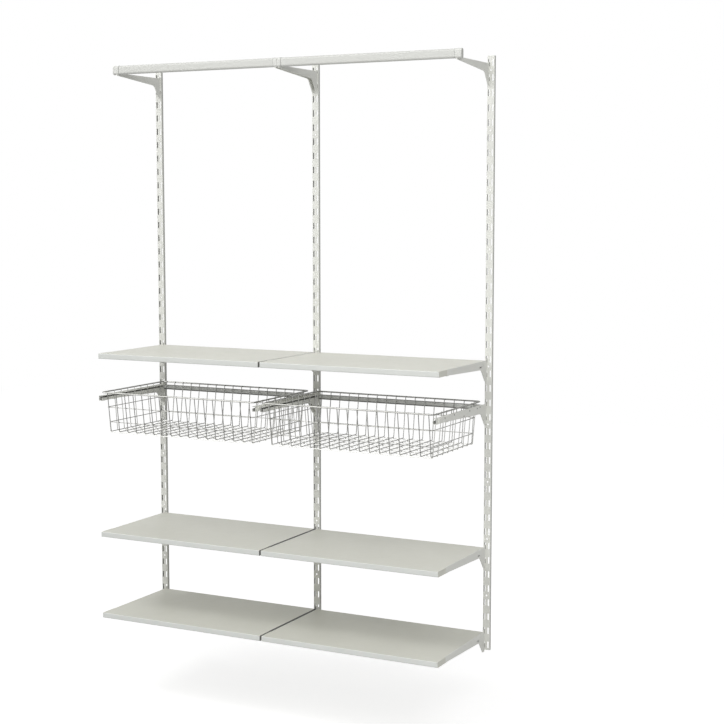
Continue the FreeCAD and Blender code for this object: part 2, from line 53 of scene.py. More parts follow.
# %% Camera
bpy.ops.object.select_all(action="DESELECT")
bpy.ops.object.camera_add(location=(2.5226, -4.5776, 0.4236),
                          rotation=(radians(84.156), 0, radians(27.104)))
camera = bpy.context.object
camera.name = "photo_camera"
camera.data.lens = 75.04
bpy.context.scene.camera = camera
print("camera with a lens of", camera.data.lens, "mm")

# %% [markdown]
# ## Small helpers
# Sizes are written in millimetres, as on a drawing, and turned into metres in one place. In edit
# mode, points, edges and faces are chosen by where they are, because no one can click on them.

# %% Helpers for pieces
BAY = 646
BAY_MIDDLE = {"left": -323, "right": 323}


def metres(x, y, z):
    return Vector((x, y, z)) / 1000


def none():
    """Leaves edit mode and selects nothing."""
    if bpy.context.object and bpy.context.object.mode != "OBJECT":
        bpy.ops.object.mode_set(mode="OBJECT")
    bpy.ops.object.select_all(action="DESELECT")


def only(piece):
    """Selects one object and nothing else."""
    none()
    piece.select_set(True)
    bpy.context.view_layer.objects.active = piece


def settle(piece):
    """Moves an object's place, turn and scale into its mesh."""
    only(piece)
    bpy.ops.object.transform_apply(location=True, rotation=True, scale=True)


def block(name, low, high):
    """A cube stretched between two corners."""
    low, high = metres(*low), metres(*high)
    none()
    bpy.ops.mesh.primitive_cube_add(size=1, location=(low + high) / 2)
    piece = bpy.context.object
    piece.name = name
    piece.scale = high - low
    settle(piece)
    return piece


def middle_of(part):
    """Middle of a point, an edge or a face, in millimetres."""
    points = [part] if isinstance(part, bmesh.types.BMVert) else part.verts
    return sum((point.co for point in points), Vector()) * 1000 / len(points)


def pick(piece, kind, wanted):
    """Goes to edit mode and selects the points, edges or faces that are wanted."""
    only(piece)
    bpy.ops.object.mode_set(mode="EDIT")
    bpy.ops.mesh.select_mode(type=kind)
    bpy.ops.mesh.select_all(action="DESELECT")
    mesh = bmesh.from_edit_mesh(piece.data)
    parts = {"VERT": mesh.verts, "EDGE": mesh.edges, "FACE": mesh.faces}[kind]
    found = [part for part in parts if wanted(middle_of(part), part)]
    for part in found:
        part.select_set(True)
    bmesh.update_edit_mesh(piece.data)
    return len(found)


def leave(piece):
    """Back to object mode, with smooth faces that meet in crisp edges."""
    only(piece)
    bpy.ops.object.shade_smooth_by_angle(angle=radians(35))


def apply_modifier(piece, kind, **settings):
    """Adds a modifier, sets it and applies it."""
    modifier = piece.modifiers.new(kind.lower(), kind)
    for name, value in settings.items():
        setattr(modifier, name, value)
    only(piece)
    bpy.ops.object.modifier_apply(modifier=modifier.name)


def soften(piece, width, segments=2):
    """A small round on every sharp edge."""
    apply_modifier(piece, "BEVEL", width=width / 1000, segments=segments,
                   limit_method="ANGLE", angle_limit=radians(40))


def cut_away(piece, tool):
    """Cuts the shape of a tool out of a piece and takes the tool away."""
    apply_modifier(piece, "BOOLEAN", operation="DIFFERENCE", object=tool, solver="EXACT")
    only(tool)
    bpy.ops.object.delete()


def copy_of(piece, name, step=(0, 0, 0)):
    """A copy with its own mesh, moved by a step."""
    only(piece)
    bpy.ops.object.duplicate(linked=False)
    twin = bpy.context.object
    twin.name = name
    twin.location = metres(*step)
    settle(twin)
    return twin


def mirror_of(piece, name, x):
    """A copy turned over left to right about a plane at x."""
    twin = copy_of(piece, name)
    twin.scale.x = -1
    twin.location.x = 2 * x / 1000
    settle(twin)
    bpy.ops.object.mode_set(mode="EDIT")
    bpy.ops.mesh.select_all(action="SELECT")
    bpy.ops.mesh.normals_make_consistent(inside=False)
    bpy.ops.object.mode_set(mode="OBJECT")
    return twin


def line_of(name, corners, closed):
    """A bare line of points and edges: one point, extruded from corner to corner."""
    corners = [metres(*corner) for corner in corners]
    none()
    bpy.ops.mesh.primitive_plane_add(size=0.01, location=corners[0])
    piece = bpy.context.object
    piece.name = name
    settle(piece)
    bpy.ops.object.mode_set(mode="EDIT")
    bpy.ops.mesh.select_mode(type="VERT")
    bpy.ops.mesh.select_all(action="SELECT")
    bpy.ops.mesh.merge(type="CENTER")
    for here, there in zip(corners, corners[1:]):
        bpy.ops.mesh.extrude_region_move(TRANSFORM_OT_translate={"value": there - here})
    if closed:
        pick(piece, "VERT", lambda at, point: len(point.link_edges) == 1)
        bpy.ops.mesh.edge_face_add()
    return piece


def slab(name, corners, push):
    """A flat outline, filled and pushed to its thickness."""
    piece = line_of(name, corners, closed=True)
    bpy.ops.mesh.select_all(action="SELECT")
    bpy.ops.mesh.edge_face_add()
    bpy.ops.mesh.extrude_region_move(TRANSFORM_OT_translate={"value": metres(*push)})
    bpy.ops.mesh.select_all(action="SELECT")
    bpy.ops.mesh.normals_make_consistent(inside=False)
    only(piece)
    return piece


def round_rod(name, middle, radius, length, way, sides=20):
    """A rod along x, y or z that cuts a round hole."""
    turn = {"x": (0, radians(90), 0), "y": (radians(90), 0, 0), "z": (0, 0, 0)}[way]
    none()
    bpy.ops.mesh.primitive_cylinder_add(vertices=sides, radius=radius / 1000,
                                        depth=length / 1000, location=metres(*middle),
                                        rotation=turn)
    rod = bpy.context.object
    rod.name = name
    settle(rod)
    return rod


def row_of(piece, count, step):
    """Equal steps of one shape."""
    apply_modifier(piece, "ARRAY", count=count, use_relative_offset=False,
                   use_constant_offset=True, constant_offset_displace=metres(*step))


def join(piece, *others):
    """Several meshes become one object."""
    only(piece)
    for other in others:
        other.select_set(True)
    bpy.ops.object.join()


print("helpers ready")

# %% [markdown]
# ## Finishes
# Nearly everything is coated pale white. Under a close look a coating is never one flat colour:
# it has faint clouds, a fine grain and a skin with tiny dents. One recipe makes all of these from
# noise on the piece's own coordinates: large noise tints the colour, finer noise varies the
# roughness, and the finest one makes the bumps. Each finish has its own numbers.

# %% Recipe for a coating
def coating(name, pale, deep, shine, grain, dents, stretch=(1, 1, 1), cloud=5.0, metal=0):
    """pale and deep are the two tints, shine the lowest and highest roughness, grain and dents
    the size of the fine noise and the height of the bumps in millimetres."""
    finish = bpy.data.materials.new(name)
    finish.use_nodes = True
    nodes, links = finish.node_tree.nodes, finish.node_tree.links
    shader = nodes["Principled BSDF"]
    shader.inputs["Metallic"].default_value = metal
    shader.inputs["Specular IOR Level"].default_value = 0.25
    where = nodes.new("ShaderNodeTexCoord")
    turn = nodes.new("ShaderNodeMapping")
    turn.inputs["Scale"].default_value = stretch
    links.new(where.outputs["Object"], turn.inputs["Vector"])
    noises = {}
    for key, scale, detail in (("cloud", cloud, 3), ("shine", cloud * 9, 2),
                               ("skin", 1000 / grain, 2)):
        noise = nodes.new("ShaderNodeTexNoise")
        noise.inputs["Scale"].default_value = scale
        noise.inputs["Detail"].default_value = detail
        links.new(turn.outputs["Vector"], noise.inputs["Vector"])
        noises[key] = noise.outputs["Fac"]
    tints = nodes.new("ShaderNodeValToRGB")
    tints.color_ramp.elements[0].position = 0.3
    tints.color_ramp.elements[0].color = (*deep, 1)
    tints.color_ramp.elements[1].position = 0.7
    tints.color_ramp.elements[1].color = (*pale, 1)
    links.new(noises["cloud"], tints.inputs["Fac"])
    links.new(tints.outputs["Color"], shader.inputs["Base Color"])
    gloss = nodes.new("ShaderNodeMapRange")
    gloss.inputs["From Min"].default_value = 0.3
    gloss.inputs["From Max"].default_value = 0.7
    gloss.inputs["To Min"].default_value, gloss.inputs["To Max"].default_value = shine
    links.new(noises["shine"], gloss.inputs["Value"])
    links.new(gloss.outputs["Result"], shader.inputs["Roughness"])
    bump = nodes.new("ShaderNodeBump")
    bump.inputs["Strength"].default_value = 0.4
    bump.inputs["Distance"].default_value = dents / 1000
    links.new(noises["skin"], bump.inputs["Height"])
    links.new(bump.outputs["Normal"], shader.inputs["Normal"])
    return finish


print("recipe ready")

# %% [markdown]
# The uprights and brackets have a powder coat with an orange-peel skin. A dark grey copy of it is
# painted shade, put where shade falls: inside a narrow channel, on the hooks in their slots, in the
# gap between bays and on the top and lower lip of the rear bars. A lighter grey copy is painted
# shade on the flanges next to the wall, inside the runners and on the caps' end faces. The shelves
# carry a slightly warm foil with a whiter strip on the front edge: a real edging, made whiter as a
# painted highlight of the front light. The rails are lacquered along their length, so their noise
# is stretched along X.

# %% Finishes of the painted pieces
powder_coat = coating("powder_coat", (0.77, 0.775, 0.73), (0.74, 0.745, 0.70),
                      (0.4, 0.5), grain=1.4, dents=0.02)
# painted shade: dark grey for channel insides, hooks, the faces in the gap between bays and the rear bars' top
# and lip
thin_coat = coating("thin_coat", (0.24, 0.24, 0.228), (0.19, 0.19, 0.18),
                    (0.5, 0.6), grain=1.4, dents=0.05)
# painted shade: a lighter grey for the flanges by the wall, the runners' insides and the caps' end faces
grey_painted_shade = coating("grey_painted_shade", (0.52, 0.525, 0.495), (0.48, 0.485, 0.455),
                      (0.42, 0.54), grain=1.4, dents=0.02)
shelf_coat = coating("shelf_coat", (0.673, 0.673, 0.606), (0.643, 0.643, 0.577),
                     (0.42, 0.52), grain=0.9, dents=0.03)
# a real edging strip, made whiter as a painted highlight of the front light
edging_and_painted_highlight = coating("edging_and_painted_highlight", (0.71, 0.725, 0.695), (0.68, 0.695, 0.665),
                     (0.36, 0.46), grain=0.9, dents=0.02, cloud=12)
rail_lacquer = coating("rail_lacquer", (0.61, 0.615, 0.585), (0.595, 0.60, 0.57),
                       (0.38, 0.44), grain=1.2, dents=0.003, stretch=(0.05, 1, 1))
print("painted finishes ready")

# %% [markdown]
# The basket wire is bare grey metal under a clear dip coat: it mirrors its surroundings, so it
# looks white where a lamp faces it and dark elsewhere. On top of that the one metal is painted in
# three tones that stand for light and shade: the thin wires that run from side to side and the
# slide wires get a painted highlight, the rims and hoops a tone between, and the wires from front
# to back a painted shade. The rivets and the rear bars are zinc, and caps and stops are plastic;
# the stops' dark grey is a painted shade of the runner's open end.

# %% Finishes of the metal and plastic pieces
# painted shade: the darker copy of the wire metal, for the wires from front to back
wire_painted_shade = coating("wire_painted_shade", (0.24, 0.24, 0.228), (0.20, 0.20, 0.19),
                   (0.22, 0.32), grain=0.7, dents=0.04, cloud=14, metal=1)
# a tone between painted shade and painted highlight, for the rims and hoops
wire_half_painted_shade = coating("wire_half_painted_shade", (0.28, 0.28, 0.265), (0.23, 0.23, 0.218),
                   (0.24, 0.34), grain=0.7, dents=0.04, cloud=14, metal=1)
# painted highlight: the lighter copy of the wire metal, for the side-to-side wires and the slide wires
wire_painted_highlight = coating("wire_painted_highlight", (0.48, 0.48, 0.46), (0.42, 0.42, 0.40),
                    (0.22, 0.32), grain=0.7, dents=0.04, cloud=14, metal=1)
bar_zinc = coating("bar_zinc", (0.68, 0.69, 0.67), (0.62, 0.63, 0.61),
                   (0.4, 0.5), grain=1.2, dents=0.03)
rivet_zinc = coating("rivet_zinc", (0.20, 0.20, 0.195), (0.13, 0.13, 0.125),
                     (0.4, 0.55), grain=0.6, dents=0.05, cloud=60)
moulded = coating("moulded_plastic", (0.66, 0.665, 0.635), (0.63, 0.635, 0.605),
                  (0.4, 0.5), grain=0.4, dents=0.005, cloud=20)
# painted shade: a dark grey plastic that stands for the shade in the runner's open front end
stop_plastic_painted_shade = coating("stop_plastic_painted_shade", (0.32, 0.32, 0.305), (0.29, 0.29, 0.276),
                      (0.4, 0.5), grain=0.4, dents=0.02, cloud=20)
FINISH = {"steel": powder_coat, "shelf": shelf_coat, "rail": rail_lacquer, "wire": wire_painted_shade,
          "plastic": moulded}


def paint(piece, finish, wanted):
    """Gives some faces of a piece a finish of their own."""
    if finish.name not in piece.data.materials:
        piece.data.materials.append(finish)
    count = pick(piece, "FACE", wanted)
    piece.active_material_index = piece.data.materials.find(finish.name)
    bpy.ops.object.material_slot_assign()
    only(piece)
    return count


def dress(piece, slot, body, *nodes):
    """Gives a new piece its finish and body, and hides the CAD nodes that it stands for."""
    if not piece.data.materials:
        piece.data.materials.append(FINISH[slot])
    if slot != "wire":
        apply_modifier(piece, "WEIGHTED_NORMAL", keep_sharp=True)
    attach(piece, body)
    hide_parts(*nodes)


print("finishes:", ", ".join(finish.name for finish in FINISH.values()))

# %% [markdown]
# ## Wires
# A wire is a line with bends. It could be a swept curve from the start, but a line of mesh points
# is easier to place: one point is extruded from corner to corner, the corners are bevelled into
# bends, and only then does the line become a round wire, by way of a curve with a thickness.

# %% Wire helper
def bent_wire(name, corners, thickness, bend, closed=False):
    piece = line_of(name, corners, closed)
    pick(piece, "VERT", lambda at, point: len(point.link_edges) == 2)
    bpy.ops.mesh.bevel(offset=bend / 1000, segments=5, affect="VERTICES")
    only(piece)
    bpy.ops.object.convert(target="CURVE")
    piece.data.bevel_depth = thickness / 2000
    piece.data.bevel_resolution = 3
    piece.data.use_fill_caps = True
    bpy.ops.object.convert(target="MESH")
    leave(piece)
    return bpy.context.object


print("wire helper ready")

# %% [markdown]
# ## The baskets
# Each basket is welded from bent wires: a thick rim, seventeen U wires from front to back, nine
# U wires from side to side under them, and two hoops inside the walls. The walls lean in towards
# the floor. One wire of each kind is drawn for the left basket. An array makes the rest of the
# row, and the right basket is a copy.

# %% Rim and hoops of the left basket
MIDDLE_X, MIDDLE_Y, RIM_Z = BAY_MIDDLE["left"], -206, -210


def ring(name, half_x, half_y, z, thickness, bend):
    corners = [(MIDDLE_X + x * half_x, MIDDLE_Y + y * half_y, z)
               for x, y in ((-1, -1), (1, -1), (1, 1), (-1, 1))]
    return bent_wire(name, corners, thickness, bend, closed=True)


rim = ring("rim_wire_left", 305, 184, RIM_Z, 5, 10)
hoops = ring("hoop_wires_left", 293, 169.2, RIM_Z - 52, 2.6, 5)
lower_hoop = ring("lower_hoop", 288.5, 162, RIM_Z - 104, 2.6, 5)
join(hoops, lower_hoop)
print("rim and hoops:", len(rim.data.polygons), len(hoops.data.polygons), "faces")

# %% [markdown]
# A U wire goes down one wall, over the floor and up the other wall. Its upper ends are welded to
# the inside of the rim, so they stop level with the top of the rim.

# %% Rows of U wires of the left basket
TOP_Z = RIM_Z + 2.4


x = MIDDLE_X - 8 * 35.6
depth_wires = bent_wire("depth_wires_round_left", [
    (x, MIDDLE_Y - 179.9, TOP_Z), (x, MIDDLE_Y - 160.8, RIM_Z - 137),
    (x, MIDDLE_Y + 160.8, RIM_Z - 137), (x, MIDDLE_Y + 179.9, TOP_Z)], 2.8, 3)
row_of(depth_wires, 17, (35.6, 0, 0))
y = MIDDLE_Y - 4 * 39.4
cross_wires = bent_wire("cross_wires_round_left", [
    (MIDDLE_X - 300.9, y, TOP_Z), (MIDDLE_X - 288.6, y, RIM_Z - 140),
    (MIDDLE_X + 288.6, y, RIM_Z - 140), (MIDDLE_X + 300.9, y, TOP_Z)], 2.8, 3)
row_of(cross_wires, 9, (0, 39.4, 0))
print("U wires:", len(depth_wires.data.polygons), len(cross_wires.data.polygons), "faces")

# %% [markdown]
# On each side a staple of thicker wire hangs the basket in its runner: its long bar lies on the
# runner's lower flange, and its two ends rise through the gap to the basket's side. A short stub
# on the bar meets the stop when the basket is pulled out.

# %% Slide wires of the left basket
front, rear = MIDDLE_Y - 157.6, MIDDLE_Y + 157.6
bar_x, bar_z, leg_z, wall_x = MIDDLE_X - 306.5, RIM_Z - 24.6, RIM_Z - 16, MIDDLE_X - 301.5
slide = bent_wire("slide_wire_left_left", [
    (wall_x, front, leg_z), (bar_x, front, leg_z), (bar_x, front, bar_z),
    (bar_x, rear, bar_z), (bar_x, rear, leg_z), (wall_x, rear, leg_z)], 4.4, 3)
stub = bent_wire("stub", [(bar_x, -108.7, bar_z), (bar_x - 3, -108.7, bar_z),
                          (bar_x - 6.5, -108.7, bar_z)], 3.8, 0.5)
join(slide, stub)
# painted highlight: the slide wire gets the lighter copy of the wire metal
slide.data.materials.append(wire_painted_highlight)
slides = {"left": slide, "right": mirror_of(slide, "slide_wire_left_right", MIDDLE_X)}
print("slide wires:", len(slide.data.polygons), "faces each")

# %% Dress the left basket and copy it
basket = {rim: "rim", hoops: "hoops", depth_wires: "depth_wires", cross_wires: "cross_wires"}
# the rim and hoops get the middle painted tone, the side-to-side wires the painted highlight
for piece, coat in ((rim, wire_half_painted_shade), (hoops, wire_half_painted_shade), (cross_wires, wire_painted_highlight)):
    piece.data.materials.append(coat)
for piece, node in basket.items():
    twin = copy_of(piece, piece.name.replace("left", "right"), (BAY, 0, 0))
    dress(piece, "wire", "basket_left", node + "_left")
    dress(twin, "wire", "basket_right", node + "_right")
for side, piece in slides.items():
    twin = copy_of(piece, "slide_wire_right_" + side, (BAY, 0, 0))
    dress(piece, "wire", "basket_left", "slide_left_" + side)
    dress(twin, "wire", "basket_right", "slide_right_" + side)
print("two baskets dressed")

# %% [markdown]
# ## Shelves
# A shelf is a board that lies between two bracket plates. Its front part, the nose, is longer and
# reaches over the plate tips, so the plates vanish in two mouths under it. The board starts as a
# cube. Its front face is extruded on the spot and widened, then extruded forwards to form the
# nose. The front edges get a large round and all others a small one. The gap between two bays is
# nearly black with shade, so the nose ends that look into it from the left get a painted shade,
# the dark grey coat, and so do the plates behind them.

# %% One shelf
TOPS = {"top": -76, "middle": -700, "low": -988}
THICK = 18.5


def shelf_at(top):
    middle = BAY_MIDDLE["left"]
    piece = block("shelf", (middle - 314.2, -326, top - THICK), (middle + 314.2, -7, top))
    pick(piece, "FACE", lambda at, face: at.y < -325)
    bpy.ops.mesh.extrude_region_move(TRANSFORM_OT_translate={"value": (0, 0, 0)})
    bpy.ops.transform.resize(value=(319.5 / 314.2, 1, 1),
                             center_override=metres(middle, -326, top))
    bpy.ops.mesh.extrude_region_move(TRANSFORM_OT_translate={"value": (0, -0.061, 0)})
    pick(piece, "EDGE", lambda at, edge: at.y < -386 and abs(at.x - middle) < 1)
    bpy.ops.mesh.bevel(offset=0.0028, segments=5, affect="EDGES")
    only(piece)
    for side in (-1, 1):
        mouth = block("mouth", (middle + side * 316 - 1.8, -381, top - THICK - 2),
                      (middle + side * 316 + 1.8, -325, top - 1.7))
        cut_away(piece, mouth)
    soften(piece, 0.5)
    leave(piece)
    piece.data.materials.append(shelf_coat)
    # the front faces get the edging, whitened as a painted highlight
    paint(piece, edging_and_painted_highlight, lambda at, face: at.y < -384 and face.normal.y < -0.5)
    return piece


first_shelf = shelf_at(TOPS["top"])
print("shelf:", len(first_shelf.data.polygons), "faces")

# %% All six shelves
for level, top in TOPS.items():
    for bay, step in (("left", 0), ("right", BAY)):
        piece = copy_of(first_shelf, "board_%s_%s" % (level, bay), (step, 0, top - TOPS["top"]))
        # painted shade: the left bay's right nose ends face into the dark gap and get dark grey
        if bay == "left":
            paint(piece, thin_coat, lambda at, face: at.x > -4 and face.normal.x > 0.9)
        dress(piece, "shelf", "frame", "shelf_%s_%s" % (level, bay))
only(first_shelf)
bpy.ops.object.delete()
print("six shelves dressed")

# %% [markdown]
# ## Hanging rails
# A rail is an oval tube with a plastic cap at each end. The tube starts as a cube whose four long
# edges are bevelled round. Its ends are inset and pushed in, so the tube is hollow there. A cap is
# a little larger than the tube, which leaves a seam between them, and has a mouth below for the
# tip of its bracket.

# %% One tube
RAIL_Y, RAIL_Z = -252, 895


def oval_bar(name, start, end, width, height, radius):
    bar = block(name, (start, RAIL_Y - width / 2, RAIL_Z - height / 2),
                (end, RAIL_Y + width / 2, RAIL_Z + height / 2))
    pick(bar, "EDGE", lambda at, edge: abs(at.x - (start + end) / 2) < 0.1)
    bpy.ops.mesh.bevel(offset=radius / 1000, segments=8, affect="EDGES")
    return bar


tube = oval_bar("tube", -630.8, -15.2, 15, 30, 7)
pick(tube, "FACE", lambda at, face: abs(face.normal.x) > 0.9)
bpy.ops.mesh.inset(thickness=0.0012, use_individual=True)
pick(tube, "FACE", lambda at, face: abs(face.normal.x) > 0.9 and len(face.verts) > 8)
for end, way in ((-630.8, 1), (-15.2, -1)):
    pick(tube, "FACE", lambda at, face: abs(at.x - end) < 0.1 and len(face.verts) > 8)
    bpy.ops.mesh.extrude_region_move(TRANSFORM_OT_translate={"value": (way * 0.03, 0, 0)})
leave(tube)
print("tube:", len(tube.data.polygons), "faces")

# %% Caps and both rails
def cap_at(name, start, end, plate_x, outer):
    cap = oval_bar(name, start, end, 16.6, 31.6, 7.8)
    pick(cap, "FACE", lambda at, face: abs(at.x - outer) < 0.1 and len(face.verts) > 8)
    bpy.ops.mesh.bevel(offset=0.0012, segments=3, affect="EDGES")
    only(cap)
    mouth = block("mouth", (plate_x - 1.7, RAIL_Y - 6.5, RAIL_Z - 20),
                  (plate_x + 1.7, RAIL_Y + 12, RAIL_Z - 9))
    cut_away(cap, mouth)
    leave(cap)
    cap.data.materials.append(moulded)
    # painted shade: the cap's end face is a grey darker than its sides
    paint(cap, grey_painted_shade, lambda at, face: abs(at.x - outer) < 0.1)
    return cap


cap_ends = {"left": ((-655, -632, -639, -655), (-14, -0.15, -7, -0.15)),
            "right": ((0.15, 14, 7, 0.15), (632, 655, 639, 655))}
for bay, step in (("left", 0), ("right", BAY)):
    piece = copy_of(tube, "rail_tube_" + bay, (step, 0, 0))
    dress(piece, "rail", "frame", "rail_" + bay)
    for side, ends in zip(("left", "right"), cap_ends[bay]):
        cap = cap_at("rail_cap_%s_%s" % (bay, side), *ends)
        dress(cap, "plastic", "frame", "rail_caps_" + bay)
only(tube)
bpy.ops.object.delete()
print("two rails with caps")

# %% [markdown]
# ## Uprights
# An upright is a strip of steel folded into a U, with its open side to the wall. Its front has two
# columns of slots for the bracket hooks, and round screw holes between them. The U could be a
# cube with a cube cut out, but an outline pushed up to its height gives the folds at once: the two
# front edges are bevelled. One slot punch and one drill are arrayed and cut out of the front.

# %% One upright
LOW_END, HIGH_END = -1050, 910
channel = slab("channel", [(x, y, LOW_END) for x, y in (
    (-12.5, 11), (-12.5, 0), (12.5, 0), (12.5, 11), (11, 11), (11, 1.5), (-11, 1.5), (-11, 11))],
    (0, 0, HIGH_END - LOW_END))
pick(channel, "EDGE", lambda at, edge: abs(at.z + 70) < 1 and abs(at.y) < 0.1)
bpy.ops.mesh.bevel(offset=0.0016, segments=3, affect="EDGES")
punch = block("punch", (-9.3, -4, -1043), (-4.2, 6, -1021))
pick(punch, "EDGE", lambda at, edge: abs(at.y - 1) < 0.1)
bpy.ops.mesh.bevel(offset=0.0014, segments=3, affect="EDGES")
join(punch, copy_of(punch, "second_column", (13.5, 0, 0)))
row_of(punch, 41, (0, 0, 48))
cut_away(channel, punch)
drill = round_rod("drill", (0, 0, -864), 3, 12, "y")
row_of(drill, 10, (0, 0, 192))
cut_away(channel, drill)
leave(channel)
print("upright:", len(channel.data.polygons), "faces")

# %% [markdown]
# The inner faces and the outer faces of the flanges are picked by their place and get painted
# shade: dark grey inside the channel, a lighter grey on the flanges. The slots then read as dark
# where the eye looks through them at a flange.

# %% Inside of the channel, and three uprights
channel.data.materials.append(powder_coat)
# painted shade: dark grey on the inner faces, lighter grey on the flanges' outer faces
inner = paint(channel, thin_coat, lambda at, face: abs(at.x) < 11.1 and at.y > 1.4
              and abs(face.normal.z) < 0.5)
outer = paint(channel, grey_painted_shade, lambda at, face: abs(at.x) > 12.4 and at.y > 1.5)
for side, x in (("left", -BAY), ("middle", 0), ("right", BAY)):
    piece = copy_of(channel, "channel_" + side, (x, 0, 0))
    dress(piece, "steel", "frame", "upright_" + side)
only(channel)
bpy.ops.object.delete()
print("inner and flange faces:", inner, outer, "on each of three uprights")

# %% [markdown]
# ## Brackets
# All brackets are flat plates of 3 mm, cut to one kind of outline: a gusset that runs down the
# upright, a knee, and a long arm. The outline is drawn from the side, filled and pushed to the
# plate's thickness, the knee is bevelled round, and a small bevel on every edge does what tumbling
# and paint do to a cut plate. The two hooks at the back are drawn on their own, so that they can
# carry a painted shade, dark grey, where they sit in the slots.

# %% Bracket helpers
PLATE_X = -640.5


def hooks(top, rise):
    """Two hooks that hang in the slots, dark grey as painted shade where the slots hide them."""
    pair = []
    for low in (top - rise, top - rise - 48):
        corners = ((0, low), (0, low + 13), (5.8, low + 13), (5.8, low - 6), (1.8, low - 6),
                   (1.8, low))
        pair.append(slab("hook", [(PLATE_X, y, z) for y, z in corners], (3, 0, 0)))
        soften(pair[-1], 0.4)
        leave(pair[-1])
        # painted shade: the hooks are dark grey
        pair[-1].data.materials.append(thin_coat)
    join(*pair)
    return pair[0]


def plate(name, top, rise, gusset, foot, root, front):
    """rise is how far the upper slot's end lies under the plate's top."""
    outline = [(-6, 0), (-6, 13 - rise), (0, 13 - rise), (0, -gusset), (-foot, -gusset),
               (-root, -28)] + front
    piece = slab(name, [(PLATE_X, y, top + z) for y, z in outline], (3, 0, 0))
    pick(piece, "EDGE", lambda at, edge: abs(at.y + root) < 0.1 and abs(at.z - top + 28) < 0.1)
    bpy.ops.mesh.bevel(offset=0.0074, segments=6, affect="EDGES")
    only(piece)
    return piece


def add_tab(piece, y, top):
    """A bent tab under the shelf, with round corners."""
    tab = block("tab", (PLATE_X, y - 7, top - 20.5), (PLATE_X + 13, y + 7, top - 18.5))
    pick(tab, "EDGE", lambda at, edge: at.x > PLATE_X + 12 and abs(at.z - top + 19.5) < 0.1)
    bpy.ops.mesh.bevel(offset=0.003, segments=4, affect="EDGES")
    lug = block("lug", (PLATE_X, y - 7, top - 20.5), (PLATE_X + 3, y + 7, top - 17.5))
    for part in (lug, tab):
        apply_modifier(piece, "BOOLEAN", operation="UNION", object=part, solver="EXACT")
        only(part)
        bpy.ops.object.delete()


def rivets(top, spots):
    """Low rivet heads on the plate's outer face: short rods with a bevelled rim."""
    heads = []
    for y, z in spots:
        head = round_rod("rivet", (PLATE_X + 0.4, y, top + z), 2.5, 2, "x", sides=14)
        pick(head, "EDGE", lambda at, edge: at.x < PLATE_X - 0.5 and edge.is_manifold)
        bpy.ops.mesh.bevel(offset=0.0004, segments=2, affect="EDGES")
        head.data.materials.append(rivet_zinc)
        heads.append(head)
    leave(heads[0])
    join(*heads)
    return heads[0]


ARM = [(-380, -17), (-380, -2), (-327, -2), (-327, 0)]
print("bracket helpers ready")

# %% Shelf brackets
top = TOPS["top"]
shelf_plate = plate("shelf_plate", top, 7, 68, 13, 46, ARM)
add_tab(shelf_plate, -316, top)
add_tab(shelf_plate, -55, top)
cut_away(shelf_plate, round_rod("notch", (PLATE_X, -50, top), 1.6, 12, "x", sides=12))
soften(shelf_plate, 0.5)
leave(shelf_plate)
shelf_plate.data.materials.append(powder_coat)
join(shelf_plate, hooks(top, 7))
both_sides = {"left": shelf_plate, "right": mirror_of(shelf_plate, "right_plate", MIDDLE_X)}
for side, plate_here in both_sides.items():
    for level, height_here in TOPS.items():
        for bay, step in (("left", 0), ("right", BAY)):
            name = "%s_%s_%s" % (level, bay, side)
            piece = copy_of(plate_here, "plate_" + name, (step, 0, height_here - top))
            # painted shade: the plates behind those nose ends get dark grey on their right faces in the gap
            if name in ("middle_left_right", "low_left_right"):
                paint(piece, thin_coat, lambda at, face: face.normal.x > 0.9)
            dress(piece, "steel", "frame", "bracket_" + name)
for spare in both_sides.values():
    only(spare)
    bpy.ops.object.delete()
print("twelve shelf brackets")

# %% [markdown]
# The basket brackets have the same plate, with zinc rivets that hold the runner. The rail brackets
# are shorter, and their tips end in the caps of the rails.

# %% Basket and rail brackets
top = -220
basket_plate = plate("basket_plate", top, 7, 68, 13, 46, ARM)
add_tab(basket_plate, -316, top)
add_tab(basket_plate, -55, top)
rail_plate = plate("rail_plate", 886, 9, 71, 8, 37, [(-258.3, -9), (-258.3, 0)])
for kind, plate_here, height, rise in (("basket", basket_plate, top, 7),
                                       ("rail", rail_plate, 886, 9)):
    soften(plate_here, 0.5)
    leave(plate_here)
    plate_here.data.materials.append(powder_coat)
    join(plate_here, hooks(height, rise))
    if kind == "basket":
        join(plate_here, rivets(top, [(-336, -5), (-263, -4), (-187, -18), (-140, -6), (-79, -6),
                                      (-55, -4)]))
    right_plate = mirror_of(plate_here, "right_plate", MIDDLE_X)
    for side, one in (("left", plate_here), ("right", right_plate)):
        for bay, step in (("left", 0), ("right", BAY)):
            piece = copy_of(one, "%s_plate_%s_%s" % (kind, bay, side), (step, 0, 0))
            dress(piece, "steel", "frame", "bracket_%s_%s_%s" % (kind, bay, side))
    for spare in (plate_here, right_plate):
        only(spare)
        bpy.ops.object.delete()
print("four basket brackets and four rail brackets")

# %% [markdown]
# ## Runners
# A runner is a folded channel on the inner side of a basket bracket. The slide wire lies in it,
# and its ends come out through the gap on the inner side. A bar joins the two runners at the back.
# A plastic clip sits over the front end and holds the stop block. It is thin where the basket
# passes, and leaves the gap open.

# %% One runner with its clip
RUNNER_X, RUNNER_Z, RUNNER_FRONT = -637.5, -238.5, -394


def runner_points(y, *points):
    return [(RUNNER_X + x, y, RUNNER_Z + z) for x, z in points]


runner = slab("runner", runner_points(
    -9, (0, 0), (12.5, 0), (12.5, 9.8), (11.3, 9.8), (11.3, 1.2), (1.2, 1.2), (1.2, 15.3),
    (12.5, 15.3), (12.5, 16.5), (0, 16.5)), (0, RUNNER_FRONT + 9, 0))
soften(runner, 0.35)
leave(runner)
runner.data.materials.append(powder_coat)
